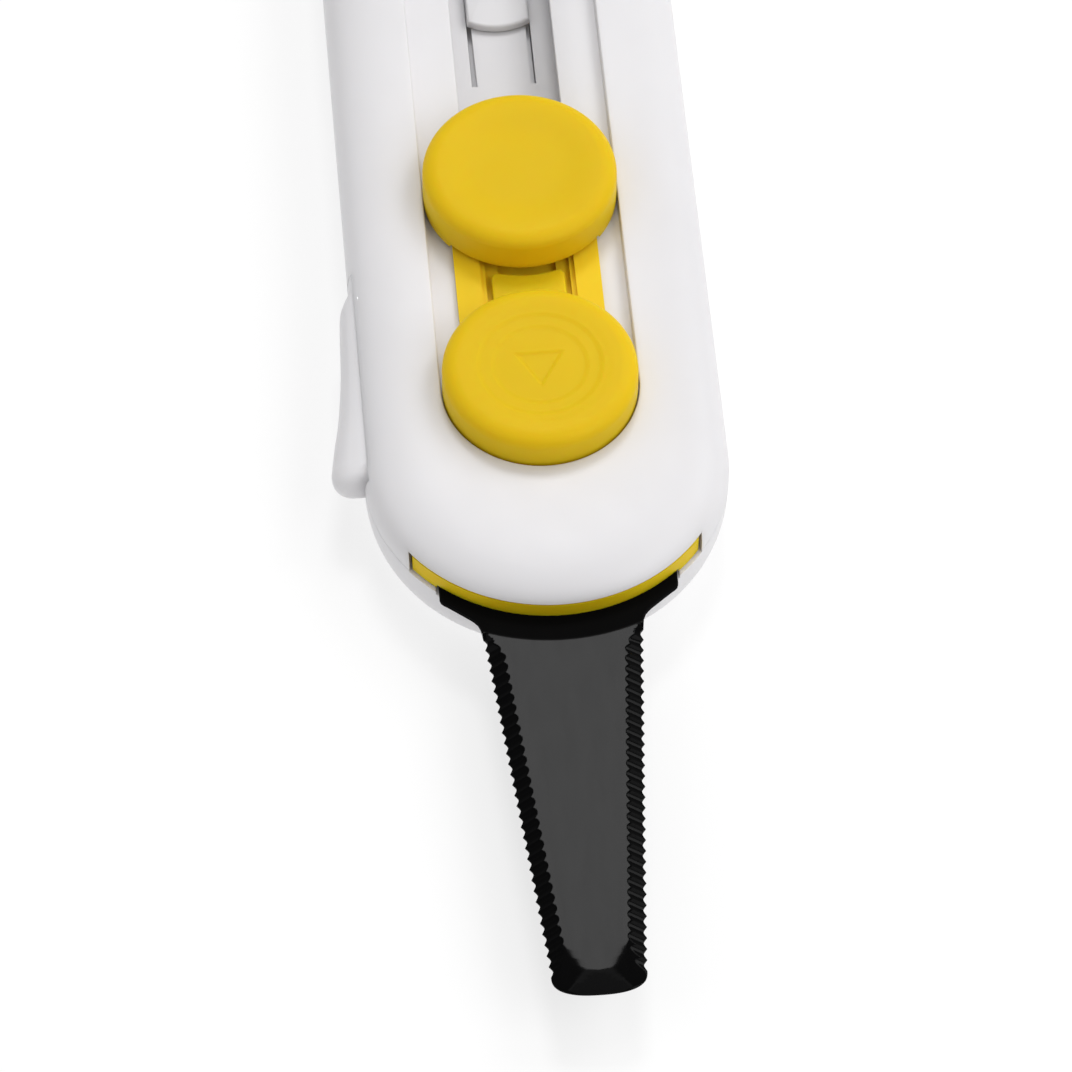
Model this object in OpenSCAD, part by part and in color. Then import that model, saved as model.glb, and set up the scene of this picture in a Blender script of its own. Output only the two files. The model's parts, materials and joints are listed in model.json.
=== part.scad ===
// Retractable serrated carton cutter: a slim two-shell handle with a two-button slide carriage.
// +X points to the blade's tip, +Z is up, and +Y is to the left of the blade's direction.
// The origin is the centre of the handle's flat underside.  All sizes are in millimetres.

/* [Handle] */
// Length of the handle without the blade
handle_length = 130; // [128:1:134]
// Width of the handle
handle_width = 33.1; // [33:0.1:33.6]
// Height of the crown above the flat underside
crown_height = 10.5; // [10.5:0.1:11]
// Wall thickness of the shells
wall = 1.7; // [1.5:0.1:1.8]

/* [Slide] */
// Stroke of the slide, from blade out to blade in
slide_stroke = 41.5; // [39.5:0.5:41.5]
// Radius of the thumb buttons
button_radius = 9; // [8.8:0.1:9]
// Distance between the two buttons
button_spacing = 22.5; // [22.3:0.1:22.7]
// How far a button can be pressed
button_travel = 0.4; // [0.2:0.1:0.4]

/* [Blade] */
// Length of blade in front of the handle's nose
blade_reach = 38.6; // [34:0.2:39]
// Thickness of the blade
blade_thickness = 0.6; // [0.5:0.05:0.65]
// Width of the blade across the first teeth
blade_width = 14.3; // [13.5:0.1:14.5]
// Distance from one tooth to the next
tooth_pitch = 1.1; // [1:0.05:1.4]

/* [Side lever] */
// How far the lever's front end stands out from its grip
lever_flare = 1.45; // [0.9:0.05:1.5]

/* [Hidden] */

$fn = 64;

WHITE = [0.93, 0.93, 0.92];
YELLOW = [0.93, 0.75, 0.12];
BLACK = [0.08, 0.08, 0.09];
STEEL = [0.72, 0.73, 0.75];

// Heights of the layers, counted from the underside
parting_z = 6.5;
floor_z = 1.6;
rail_bottom_z = 3.3;
rail_top_z = 4.5;
pad_top_z = 5.5;
blade_top_z = 6.85;
blade_bottom_z = blade_top_z - blade_thickness;
mouth_bottom_z = 6.35;
clamp_bottom_z = blade_bottom_z - 0.85;
holder_bottom_z = 6.9;
holder_low_top_z = 7.6;
holder_top_z = 8.4;
ceiling_z = crown_height - 1.95;
ledge_z = crown_height - 1.2;
deck_bottom_z = 7.65;
deck_top_z = 8.85;
flange_bottom_z = 9.35;
flange_top_z = 9.75;
skirt_bottom_z = ledge_z + button_travel + 0.05;
skirt_notch_z = flange_top_z + button_travel + 0.05;
cap_ceiling_z = 12.3;
front_button_top_z = 13.8;
rear_button_top_z = 14.1;

// Plan positions
half_width = handle_width / 2;
nose_x = handle_length / 2;
end_arc_x = nose_x - half_width;
front_button_x = nose_x - 23.3;
rear_button_x = front_button_x - button_spacing;
recess_half_width = button_radius + 0.2;
recess_front_x = front_button_x;
recess_rear_x = rear_button_x - slide_stroke;
slot_half_width = 4.8;
slot_front_x = front_button_x + 5.7;
slot_rear_x = recess_rear_x - 6;
mouth_half_width = 13.16;

// Shell outline: a quarter of a soft-cornered curve, from the side wall in to a flat
outline_flat = 8.5;
lower_outline_flat = 11.5;
outline_power = 3;
outline_steps = 14;

function soft_quarter(flat, rise) =
    [for (i = [0:outline_steps])
        let (t = 90 * i / outline_steps,
             c = i == outline_steps ? 0 : cos(t),
             s = i == 0 ? 0 : sin(t))
        [flat + (half_width - flat) * pow(c, 2 / outline_power), rise * pow(s, 2 / outline_power)]];

upper_outline = concat(
    [[0, parting_z]],
    [for (p = soft_quarter(outline_flat, crown_height - parting_z))
        [p[0], parting_z + p[1]]],
    [[0, crown_height]]);

lower_outline = concat(
    [[0, parting_z]],
    [for (p = soft_quarter(lower_outline_flat, parting_z))
        [p[0], parting_z - p[1]]],
    [[0, 0]]);

inner_half_width = half_width - wall;
upper_cavity = [[0, parting_z - 1], [inner_half_width, parting_z - 1],
                [inner_half_width, parting_z + 0.7], [13.1, ceiling_z], [0, ceiling_z]];
lower_cavity = [[0, parting_z + 1], [inner_half_width, parting_z + 1],
                [inner_half_width, 4], [12, floor_z], [0, floor_z]];

// Screw places
housing_screw_places = [[0, 11.4], [0, -11.4], [-42, 10.4], [-42, -10.4]];
housing_boss_r = 2.1;
rail_screw_places = [-38, nose_x - 12.5];
rail_screw_hole_r = 1.1;
carriage_screw_places = [rear_button_x + 5.2, front_button_x - 4.9];
screw_head_share = 0.55;
clamp_screw_places = [[nose_x - 11.5, 5], [nose_x - 11.5, -5]];

// Lanyard hole at the tail
lanyard_x = -nose_x + 8;
lanyard_r = 2.25;
lanyard_boss_r = 4.2;

// Holder plate
holder_rear_x = front_button_x - 26;
holder_wide_x = nose_x - 19;
holder_half_width = 8;
holder_wide_half_width = 12.85;
blade_root_rear_x = nose_x - 19;
blade_root_half_width = 10.7;

// Button parts
stem_r = 2;
stem_hole_r = 2.06;
stem_bottom_z = 6.2;
retainer_bottom_z = 6.3;
retainer_top_z = 6.8;
retainer_r = 3;
cap_inner_r = 7.6;
spring_r = 3;
spring_wire_r = 0.2;
spring_turns = 4.5;

// Side lever
lever_rear_x = front_button_x - 15.1;
lever_front_x = front_button_x + 7.8;
lever_pin_x = lever_rear_x + 2.9;
lever_pin_y = -14.9;
lever_pin_r = 0.9;
lever_pin_hole_r = 0.95;
lever_hub_r = 1.7;
lever_bottom_z = 4;
lever_top_z = 8.5;
window_gap = 0.12;

// Detent spring and the notches that it drops into
detent_x = nose_x - 15.5;
detent_bottom_z = 6.6;
detent_top_z = 7.15;
detent_notch_r = 1.3;

// ---- general shapes ----

// A solid of revolution at each end of the handle with a straight length between them
module stadium(outline) {
    mirrored = [for (i = [len(outline) - 1:-1:0]) if (outline[i][0] > 0) [-outline[i][0], outline[i][1]]];
    section = concat([for (p = outline) if (p[0] > 0) p], mirrored);
    for (turn = [0, 180]) {
        rotate([0, 0, turn])
            translate([end_arc_x, 0, 0])
                rotate([0, 0, -90])
                    rotate_extrude(angle = 180, $fn = 96)
                        polygon(outline);
    }
    rotate([90, 0, 90])
        linear_extrude(2 * end_arc_x, center = true)
            polygon(section);
}

// A flat bar with round ends between two points on the X axis
module round_bar(rear_x, front_x, half, bottom_z, top_z) {
    translate([0, 0, bottom_z])
        linear_extrude(top_z - bottom_z)
            union() {
                translate([rear_x, -half])
                    square([front_x - rear_x, 2 * half]);
                translate([rear_x, 0])
                    circle(half);
                translate([front_x, 0])
                    circle(half);
            }
}

// A box given by its two corners
module block(low, high) {
    translate(low)
        cube(high - low);
}

// A round post between two heights
module post(x, y, radius, bottom_z, top_z) {
    translate([x, y, bottom_z])
        cylinder(r = radius, h = top_z - bottom_z);
}

// A countersunk screw that points up, its head's face at the given height, with a cross slot
module screw_up(x, y, head_z, tip_z, thread_r, head_r) {
    slot = head_r * 0.5;
    difference() {
        union() {
            post(x, y, thread_r, head_z, tip_z);
            post(x, y, head_r, head_z, head_z + head_r * screw_head_share);
        }
        block([x - slot, y - 0.2, head_z - 1], [x + slot, y + 0.2, head_z + 0.4]);
        block([x - 0.2, y - slot, head_z - 1], [x + 0.2, y + slot, head_z + 0.4]);
    }
}

// The same screw pointing down, its head on top
module screw_down(x, y, head_z, tip_z, thread_r, head_r) {
    translate([0, 0, head_z])
        mirror([0, 0, 1])
            translate([0, 0, -head_z])
                screw_up(x, y, head_z, 2 * head_z - tip_z, thread_r, head_r);
}

// A coil of round wire around the Z axis, swept ring by ring
module coil(radius, wire_r, bottom_z, top_z, turns) {
    sides = 8;
    steps = 20 * turns;
    rise = top_z - bottom_z - 2 * wire_r;
    ring_points = [for (i = [0:steps], j = [0:sides - 1])
        let (a = 360 * turns * i / steps,
             b = 360 * j / sides,
             r = radius + wire_r * cos(b),
             z = bottom_z + wire_r + rise * i / steps + wire_r * sin(b))
        [r * cos(a), r * sin(a), z]];
    side_faces = [for (i = [0:steps - 1], j = [0:sides - 1])
        let (k = (j + 1) % sides)
        [i * sides + j, (i + 1) * sides + j, (i + 1) * sides + k, i * sides + k]];
    start_face = [for (j = [0:sides - 1]) j];
    end_face = [for (j = [sides - 1:-1:0]) steps * sides + j];
    polyhedron(ring_points, concat([start_face, end_face], side_faces));
}

// A thin strip bowed between two ends, its middle pushed out by the bow
module bowed_strip(length, bow, thickness, height) {
    steps = 12;
    inner = [for (i = [0:steps]) let (u = i / steps) [length * (u - 0.5), bow * sin(180 * u)]];
    outer = [for (i = [steps:-1:0]) inner[i] + [0, thickness]];
    linear_extrude(height)
        polygon(concat(inner, outer));
}

// ---- housing ----

module side_window() {
    block([lever_rear_x - 0.25, -20, lever_bottom_z - window_gap],
          [lever_front_x + 0.25, -12.4, lever_top_z + window_gap]);
}

// The blade lies in a trough a little deeper than the rest of the mouth
module mouth() {
    trough = blade_root_half_width + 0.25;
    block([nose_x - 14.5, -mouth_half_width, mouth_bottom_z],
          [nose_x + 5, mouth_half_width, ceiling_z]);
    block([nose_x - 14.5, -trough, blade_bottom_z - 0.15],
          [nose_x + 5, trough, mouth_bottom_z + 1]);
}

module upper_shell() {
    color(WHITE)
    difference() {
        union() {
            difference() {
                stadium(upper_outline);
                stadium(upper_cavity);
            }
            for (p = housing_screw_places) {
                post(p[0], p[1], housing_boss_r, parting_z, ceiling_z + 0.3);
            }
            post(lanyard_x, 0, lanyard_boss_r, parting_z, ceiling_z + 0.3);
        }
        round_bar(recess_rear_x, recess_front_x, recess_half_width, ledge_z, crown_height + 1);
        block([slot_rear_x, -slot_half_width, parting_z - 1],
              [slot_front_x, slot_half_width, crown_height + 1]);
        mouth();
        side_window();
        for (p = housing_screw_places) {
            post(p[0], p[1], 0.8, parting_z - 1, ceiling_z);
        }
        for (step = [0, 0.5, 1]) {
            post(detent_x - step * slide_stroke, inner_half_width - 0.25, detent_notch_r,
                 parting_z - 0.5, detent_top_z + 0.1);
        }
        post(lanyard_x, 0, lanyard_r, parting_z - 1, crown_height + 1);
        post(lever_pin_x, lever_pin_y, lever_pin_r, lever_top_z, lever_top_z + 0.6);
    }
}

module lower_shell() {
    color(WHITE)
    difference() {
        union() {
            difference() {
                stadium(lower_outline);
                stadium(lower_cavity);
            }
            for (p = housing_screw_places) {
                post(p[0], p[1], housing_boss_r, floor_z - 0.3, parting_z);
            }
            post(lanyard_x, 0, lanyard_boss_r, floor_z - 0.3, parting_z);
            for (x = rail_screw_places) {
                post(x, 0, 2.4, floor_z - 0.3, rail_bottom_z);
            }
            for (side = [-1, 1]) {
                block([-44, side * 5.7 - 0.5, floor_z - 0.3],
                      [nose_x - 9, side * 5.7 + 0.5, rail_bottom_z]);
            }
            post(lever_pin_x, lever_pin_y, lever_hub_r, floor_z, lever_bottom_z - window_gap);
            block([lever_rear_x + 9, -13.7, floor_z - 0.3],
                  [lever_rear_x + 21, -13.1, parting_z]);
        }
        mouth();
        difference() {
            side_window();
            block([lever_rear_x, -13.75, 0], [lever_front_x, -12, parting_z]);
        }
        for (p = housing_screw_places) {
            post(p[0], p[1], 1.1, -1, parting_z + 1);
            post(p[0], p[1], 2, -1, 1.5);
        }
        for (x = rail_screw_places) {
            post(x, 0, 0.7, floor_z, rail_bottom_z + 1);
        }
        post(lanyard_x, 0, lanyard_r, -1, parting_z + 1);
        post(lever_pin_x, lever_pin_y, lever_pin_r, lever_bottom_z - 1, lever_bottom_z);
    }
}

// Floor of the slot, with a spring tongue cut into it that carries the raised lock pad
module guide_rail() {
    half = 6.4;
    slit_outer = 3.1;
    slit_width = 0.5;
    slit_front_x = 1.9;
    tongue_rear_x = -20;
    pad_front_x = -4.55;
    pad_half = 3;
    pad_foot_half = 2.5;
    pad_edge_r = 5.8;
    color(WHITE) {
        difference() {
            block([-44, -half, rail_bottom_z], [nose_x - 9, half, rail_top_z]);
            for (side = [-1, 1]) {
                block([tongue_rear_x, side * (slit_outer - slit_width / 2) - slit_width / 2, 0],
                      [slit_front_x, side * (slit_outer - slit_width / 2) + slit_width / 2, 20]);
            }
            block([tongue_rear_x, -slit_outer, 0], [tongue_rear_x + slit_width, slit_outer, 20]);
            for (x = rail_screw_places) {
                post(x, 0, rail_screw_hole_r, 0, 20);
                post(x, 0, 2.1, rail_top_z - 0.8, 20);
            }
        }
        intersection() {
            block([pad_front_x - pad_edge_r - 1, -pad_half, rail_top_z + 0.1],
                  [pad_front_x + 1, pad_half, pad_top_z]);
            post(pad_front_x - pad_edge_r, 0, pad_edge_r, 0, 20);
        }
        block([tongue_rear_x + 1.6, -pad_half, rail_top_z + 0.1],
              [pad_front_x - pad_edge_r, pad_half, pad_top_z]);
        block([tongue_rear_x + 1.6, -pad_foot_half, rail_top_z - 0.4],
              [pad_front_x - 0.9, pad_foot_half, rail_top_z + 0.4]);
    }
}

module housing_screws() {
    color(STEEL)
    for (p = housing_screw_places) {
        screw_up(p[0], p[1], 0.5, parting_z + 1.5, 0.8, 1.8);
    }
}

module rail_screws() {
    color(STEEL)
    for (x = rail_screw_places) {
        screw_down(x, 0, rail_top_z, floor_z + 0.4, 0.7, 1.4);
    }
}

// ---- slide ----

// Plan of the carriage's flange: straight sides, and ends that fit inside the buttons' skirts
module flange_plan(half) {
    end_r = cap_inner_r - 0.3;
    intersection() {
        union() {
            translate([rear_button_x, 0])
                circle(end_r);
            translate([front_button_x, 0])
                circle(end_r);
            translate([rear_button_x, -end_r])
                square([button_spacing, 2 * end_r]);
        }
        translate([rear_button_x - 20, -half])
            square([button_spacing + 40, 2 * half]);
    }
}

// Flanged tray: two rails rest on the ledges beside the slot, and legs carry a deck inside it
module slide_carriage() {
    rear_x = rear_button_x - 5.7;
    front_x = front_button_x + 5.4;
    rail_outer = 6.7;
    rail_inner = 4.35;
    leg_outer = 4.65;
    leg_inner = 3.9;
    end_wall = 0.8;
    pocket_rear_x = rear_button_x + 7;
    pocket_front_x = rear_button_x + 10.2;
    pocket_half = 2.7;
    pocket_floor_z = deck_top_z - 0.6;
    color(YELLOW)
    difference() {
        union() {
            translate([0, 0, flange_bottom_z])
                linear_extrude(flange_top_z - flange_bottom_z)
                    flange_plan(rail_outer);
            block([rear_x, -leg_outer, deck_bottom_z], [front_x, leg_outer, flange_top_z - 0.2]);
        }
        block([rear_x + end_wall, -leg_inner, deck_top_z], [front_x - end_wall, leg_inner, 20]);
        block([rear_x + end_wall, -rail_inner, flange_bottom_z], [front_x - end_wall, rail_inner, 20]);
        block([pocket_rear_x, -pocket_half, pocket_floor_z], [pocket_front_x, pocket_half, 20]);
        for (x = [rear_button_x, front_button_x]) {
            post(x, 0, stem_hole_r, 0, 20);
        }
        for (x = carriage_screw_places) {
            post(x, 0, 0.75, 0, 20);
        }
    }
}

// Plate that carries the blade: narrow under the slot, wide and arc-ended in the mouth
module blade_holder() {
    front_r = 16.2;
    color(YELLOW)
    difference() {
        union() {
            block([holder_rear_x, -holder_half_width, holder_bottom_z],
                  [holder_wide_x + 1, holder_half_width, holder_top_z]);
            intersection() {
                union() {
                    block([holder_wide_x, -holder_wide_half_width, holder_bottom_z],
                          [nose_x + 1, holder_wide_half_width, holder_top_z]);
                    for (side = [-1, 1]) {
                        block([holder_wide_x, side * 11.85 - 1, mouth_bottom_z + 0.15],
                              [nose_x + 1, side * 11.85 + 1, holder_top_z]);
                    }
                }
                post(end_arc_x, 0, front_r, 0, 20);
            }
        }
        block([holder_rear_x - 1, -slot_half_width, holder_low_top_z],
              [slot_front_x + 0.3, slot_half_width, 20]);
        for (x = [rear_button_x, front_button_x]) {
            post(x, 0, stem_hole_r + 0.2, 0, 20);
        }
        for (x = carriage_screw_places) {
            post(x, 0, 0.7, 0, 20);
        }
        for (p = clamp_screw_places) {
            post(p[0], p[1], 0.7, 0, holder_top_z - 0.4);
        }
    }
}

module carriage_screws() {
    color(STEEL)
    for (x = carriage_screw_places) {
        screw_down(x, 0, deck_top_z + 1.1 * screw_head_share, holder_bottom_z + 0.05, 0.7, 1.1);
    }
}

// Half-outline of the blade from the root to the tip, on the +Y side, teeth left out
blade_tip_x = nose_x + blade_reach;
teeth_start_x = nose_x + 1.4;
teeth_end_x = blade_tip_x - 2;
tooth_count = floor((teeth_end_x - teeth_start_x) / tooth_pitch);
blade_half = blade_width / 2;
tip_half = blade_half - 3.1;
bevel_width = 1.25;

function edge_half(x) =
    blade_half + (tip_half - blade_half) * (x - teeth_start_x) / (teeth_end_x - teeth_start_x);

module blade_outline() {
    root = [[blade_root_rear_x, blade_root_half_width],
            [nose_x - 3.05, blade_root_half_width],
            [nose_x - 2.6, blade_root_half_width - 0.45],
            [nose_x - 0.8, blade_half + 0.8],
            [nose_x - 0.3, blade_half + 0.3],
            [teeth_start_x, blade_half]];
    tip = [[teeth_end_x, tip_half],
           [blade_tip_x - 1.1, tip_half - 0.4],
           [blade_tip_x - 0.35, tip_half - 1.5],
           [blade_tip_x, tip_half - 3.2]];
    upper = concat(root, tip);
    lower = [for (i = [len(upper) - 1:-1:0]) [upper[i][0], -upper[i][1]]];
    polygon(concat(upper, lower));
}

module blade() {
    scallop_r = 0.62;
    scallop_depth = 0.32;
    tip_bevel_length = 2.2;
    edge_thickness = 0.14;
    color(BLACK)
    difference() {
        translate([0, 0, blade_bottom_z])
            linear_extrude(blade_thickness)
                blade_outline();
        for (side = [-1, 1], i = [0:tooth_count - 1]) {
            x = teeth_start_x + (i + 0.5) * tooth_pitch;
            translate([x, side * (edge_half(x) + scallop_r - scallop_depth), 0])
                cylinder(r = scallop_r, h = 20, $fn = 16);
        }
        edge_slope = atan((blade_half - tip_half) / (teeth_end_x - teeth_start_x));
        edge_tilt = atan((blade_thickness - edge_thickness) / bevel_width);
        for (side = [-1, 1]) {
            translate([teeth_start_x - 0.3, side * (blade_half - bevel_width), blade_top_z])
                rotate([0, 0, -side * edge_slope])
                    rotate([-side * edge_tilt, 0, 0])
                        block([0, side * 5 - 5, 0], [60, side * 5 + 5, 3]);
        }
        translate([blade_tip_x - tip_bevel_length, 0, blade_top_z])
            rotate([0, atan((blade_thickness - edge_thickness) / tip_bevel_length), 0])
                block([0, -10, 0], [10, 10, 3]);
        for (p = clamp_screw_places) {
            post(p[0], p[1], 0.9, 0, 20);
        }
    }
}

module blade_clamp() {
    color(STEEL)
    difference() {
        round_bar(nose_x - 12.8, nose_x - 11, 6.2, clamp_bottom_z, blade_bottom_z);
        for (p = clamp_screw_places) {
            post(p[0], p[1], 0.8, 0, 20);
            post(p[0], p[1], 1.45, 0, clamp_bottom_z + 0.7);
        }
    }
}

module clamp_screws() {
    color(STEEL)
    for (p = clamp_screw_places) {
        screw_up(p[0], p[1], clamp_bottom_z, holder_top_z - 0.45, 0.7, 1.2);
    }
}

// Bowed leaf on the holder's edge, its hump standing in a notch of the shell's wall
module detent_spring() {
    color(STEEL)
    translate([detent_x, holder_wide_half_width + 0.02, detent_bottom_z])
        bowed_strip(6.6, inner_half_width - holder_wide_half_width - 0.05, 0.2,
                    detent_top_z - detent_bottom_z);
}

// ---- buttons ----

// Round cap with a soft rim and a dished top, hollow below, its skirt notched over the carriage's
// rails, which run to the side given as 1 for +X and -1 for -X
module button_cap(top_z, dish_r, dish_depth, rail_side) {
    rim_r = 1.6;
    notch_half = 6.9;
    notch_start_x = 2.6;
    rim = [for (a = [0:15:90]) [button_radius - rim_r + rim_r * cos(a), top_z - rim_r + rim_r * sin(a)]];
    dish = [for (i = [0:8]) let (u = i / 8)
        [dish_r * (1 - u), top_z - dish_depth * sin(90 * u)]];
    difference() {
        rotate_extrude($fn = 96)
            polygon(concat(
                [[0, cap_ceiling_z], [cap_inner_r, cap_ceiling_z],
                 [cap_inner_r, skirt_bottom_z], [button_radius, skirt_bottom_z]],
                rim, dish));
        rotate([0, 0, rail_side > 0 ? 0 : 180])
            block([notch_start_x, -notch_half, 0], [button_radius + 1, notch_half, skirt_notch_z]);
    }
}

module stem() {
    post(0, 0, stem_r, stem_bottom_z, cap_ceiling_z + 0.3);
}

// Groove near the stem's foot for the retainer
module retainer_groove() {
    difference() {
        post(0, 0, stem_r + 1, retainer_bottom_z, retainer_top_z);
        post(0, 0, stem_r - 0.5, 0, 20);
    }
}

module front_button() {
    tongue_half = 3.4;
    gap_r = button_radius + 0.3;
    tongue_rear_x = 8 - button_spacing;
    color(YELLOW)
    translate([front_button_x, 0, 0])
    difference() {
        union() {
            button_cap(front_button_top_z, 6.4, 0.35, -1);
            block([tongue_rear_x, -tongue_half, flange_bottom_z],
                  [-7.4, tongue_half, flange_top_z]);
            block([-8.6, -tongue_half, flange_bottom_z],
                  [-7.2, tongue_half, cap_ceiling_z]);
            stem();
        }
        post(-button_spacing, 0, gap_r, 0, 20);
        retainer_groove();
        for (r = [4.24, 5.57]) {
            difference() {
                post(0, 0, r + 0.15, front_button_top_z - 0.5, 20);
                post(0, 0, r - 0.15, 0, 21);
            }
        }
        translate([0, 0, front_button_top_z - 0.5])
            linear_extrude(2)
                polygon([[2.15, 0], [-1.4, 2.12], [-1.4, -2.12]]);
    }
}

module rear_button() {
    color(YELLOW)
    translate([rear_button_x, 0, 0])
    difference() {
        union() {
            button_cap(rear_button_top_z, 7.4, 0.35, 1);
            stem();
        }
        retainer_groove();
    }
}

module button_spring(x) {
    color(STEEL)
    translate([x, 0, 0])
        coil(spring_r, spring_wire_r, deck_top_z, cap_ceiling_z, spring_turns);
}

module front_button_spring() {
    button_spring(front_button_x);
}

module rear_button_spring() {
    button_spring(rear_button_x);
}

// Split washer that snaps into the stem's groove below the holder
module button_retainer(x) {
    color(STEEL)
    translate([x, 0, 0])
    difference() {
        post(0, 0, retainer_r, retainer_bottom_z + 0.03, retainer_top_z - 0.03);
        post(0, 0, stem_r - 0.47, 0, 20);
        block([0, -0.9, 0], [5, 0.9, 20]);
    }
}

module front_button_retainer() {
    button_retainer(front_button_x);
}

module rear_button_retainer() {
    button_retainer(rear_button_x);
}

// ---- side lever ----

// Finger lever in the flank's window, flared at its front end and hinged near its rear end
module side_lever() {
    inner_y = -15.35;
    grip_y = -18;
    flare_r = 1.3;
    outline = [[lever_rear_x, inner_y - 0.2],
               [lever_rear_x, -16.5],
               [lever_rear_x + 1.2, -17.2],
               [lever_rear_x + 3, -17.8],
               [lever_rear_x + 7, grip_y],
               [lever_rear_x + 12, grip_y - 0.17 * lever_flare],
               [lever_rear_x + 16, grip_y - 0.45 * lever_flare],
               [lever_rear_x + 20, grip_y - 0.86 * lever_flare],
               [lever_front_x - flare_r, grip_y - lever_flare],
               [lever_front_x - flare_r * 0.3, grip_y + 0.4 - lever_flare],
               [lever_front_x, grip_y - 0.2],
               [lever_front_x, inner_y - 0.6],
               [lever_front_x - 0.6, inner_y]];
    color(WHITE)
    difference() {
        union() {
            translate([0, 0, lever_bottom_z])
                linear_extrude(lever_top_z - lever_bottom_z)
                    polygon(outline);
            post(lever_pin_x, lever_pin_y, lever_hub_r, lever_bottom_z, lever_top_z);
        }
        post(lever_pin_x, lever_pin_y, lever_pin_hole_r, 0, 20);
    }
}

module side_lever_pin() {
    color(STEEL)
        post(lever_pin_x, lever_pin_y, lever_pin_r, lever_bottom_z - 1, lever_top_z + 0.55);
}

module side_lever_spring() {
    color(STEEL)
    translate([lever_rear_x + 15, -13.72, 4.4])
        rotate([0, 0, 180])
            bowed_strip(9, 1.35, 0.2, 1.8);
}

upper_shell();
lower_shell();
guide_rail();
housing_screws();
rail_screws();
slide_carriage();
blade_holder();
carriage_screws();
blade();
blade_clamp();
clamp_screws();
detent_spring();
front_button();
front_button_spring();
front_button_retainer();
rear_button();
rear_button_spring();
rear_button_retainer();
side_lever();
side_lever_pin();
side_lever_spring();
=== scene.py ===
import json
import math

import bmesh
import bpy
from mathutils import Matrix, Vector


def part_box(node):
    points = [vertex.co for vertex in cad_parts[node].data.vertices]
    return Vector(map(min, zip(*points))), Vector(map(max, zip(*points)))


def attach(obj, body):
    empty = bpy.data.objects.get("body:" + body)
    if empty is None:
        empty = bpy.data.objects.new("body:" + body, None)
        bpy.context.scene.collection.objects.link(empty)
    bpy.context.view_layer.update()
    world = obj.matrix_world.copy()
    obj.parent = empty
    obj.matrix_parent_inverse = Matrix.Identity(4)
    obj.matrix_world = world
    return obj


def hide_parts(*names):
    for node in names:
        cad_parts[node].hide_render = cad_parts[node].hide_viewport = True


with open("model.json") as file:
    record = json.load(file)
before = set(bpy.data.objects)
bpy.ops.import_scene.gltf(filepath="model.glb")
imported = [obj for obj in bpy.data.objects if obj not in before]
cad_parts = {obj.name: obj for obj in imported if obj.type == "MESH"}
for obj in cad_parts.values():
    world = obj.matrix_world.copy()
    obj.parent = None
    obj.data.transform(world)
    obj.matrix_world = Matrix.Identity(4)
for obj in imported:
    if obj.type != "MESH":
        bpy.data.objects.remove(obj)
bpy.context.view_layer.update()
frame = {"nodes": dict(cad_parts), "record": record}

# Shapes are measured in millimetres and scaled once, when a mesh is made; lights and camera are in metres.
MM = 0.001


def span(node):
    """Lowest and highest corner of a CAD node, in millimetres."""
    low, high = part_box(node)
    return low / MM, high / MM


def middle_x(node):
    """Middle of a CAD node along the handle, in millimetres."""
    low, high = span(node)
    return (low.x + high.x) / 2


# ---- sizes taken from the frame ----

lower_low, lower_high = span("lower_shell")
upper_low, upper_high = span("upper_shell")
rail_low, rail_high = span("guide_rail")
blade_low, blade_high = span("blade")
lever_low, lever_high = span("side_lever")
front_high = span("front_button")[1]
rear_high = span("rear_button")[1]
tray_high = span("slide_carriage")[1]

HALF_WIDTH = lower_high.y
NOSE_X = -lower_low.x
END_X = NOSE_X - HALF_WIDTH
PARTING_Z = upper_low.z
CROWN_Z = upper_high.z
FRONT_X = middle_x("front_button_spring")
REAR_X = middle_x("rear_button_spring")
BUTTON_R = rear_high.y
joints = {joint["name"]: joint for joint in frame["record"]["behaviour"]["joints"]}
STROKE = joints["blade_slide"]["range_m"][1] / MM

# ---- the shells' walls, openings and recess ----

WALL = 1.7
INNER_R = HALF_WIDTH - WALL
CEILING_Z = CROWN_Z - 1.95
LEDGE_Z = CROWN_Z - 1.2
FLOOR_Z = 1.6
MOUTH_LOW_Z = PARTING_Z - 0.15
TROUGH_LOW_Z = blade_low.z - 0.15
MOUTH_HALF = 13.16
TROUGH_HALF = 10.95

FRONT_CAP_R = BUTTON_R - 0.1
RECESS_R = FRONT_CAP_R + 0.12
RECESS_FRONT_X = FRONT_X
RECESS_REAR_X = REAR_X - STROKE
SLOT_HALF = 4.8
SLOT_FRONT_X = FRONT_X + 5.7
SLOT_REAR_X = RECESS_REAR_X - 6
LANYARD_X = -NOSE_X + 8
LANYARD_R = 2.25

# The shells' cross-section is flat out to these distances and rounds off from there as a soft-cornered curve.
OUTLINE_FLAT = 8.5
LOWER_FLAT = 11.5
OUTLINE_POWER = 3.0
# From here outwards the upper shell's rings follow its flank instead of the recess.
FLANK_R = 13.0


# ---- materials ----

def new_material(name, colour, roughness, **sockets):
    """A Principled material with its constants on the shader's own sockets."""
    material = bpy.data.materials.new(name)
    material.use_nodes = True
    shader = material.node_tree.nodes["Principled BSDF"]
    shader.inputs["Base Color"].default_value = (*colour, 1)
    shader.inputs["Roughness"].default_value = roughness
    for key, value in sockets.items():
        shader.inputs[key.replace("_", " ")].default_value = value
    return material


def node(material, kind, **settings):
    """Adds a node; a setting is one of its sockets by name, or one of its properties."""
    made = material.node_tree.nodes.new(kind)
    for key, value in settings.items():
        if key in made.inputs:
            made.inputs[key].default_value = value
        else:
            setattr(made, key, value)
    return made


def link(material, source, target):
    material.node_tree.links.new(source, target)


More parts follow.
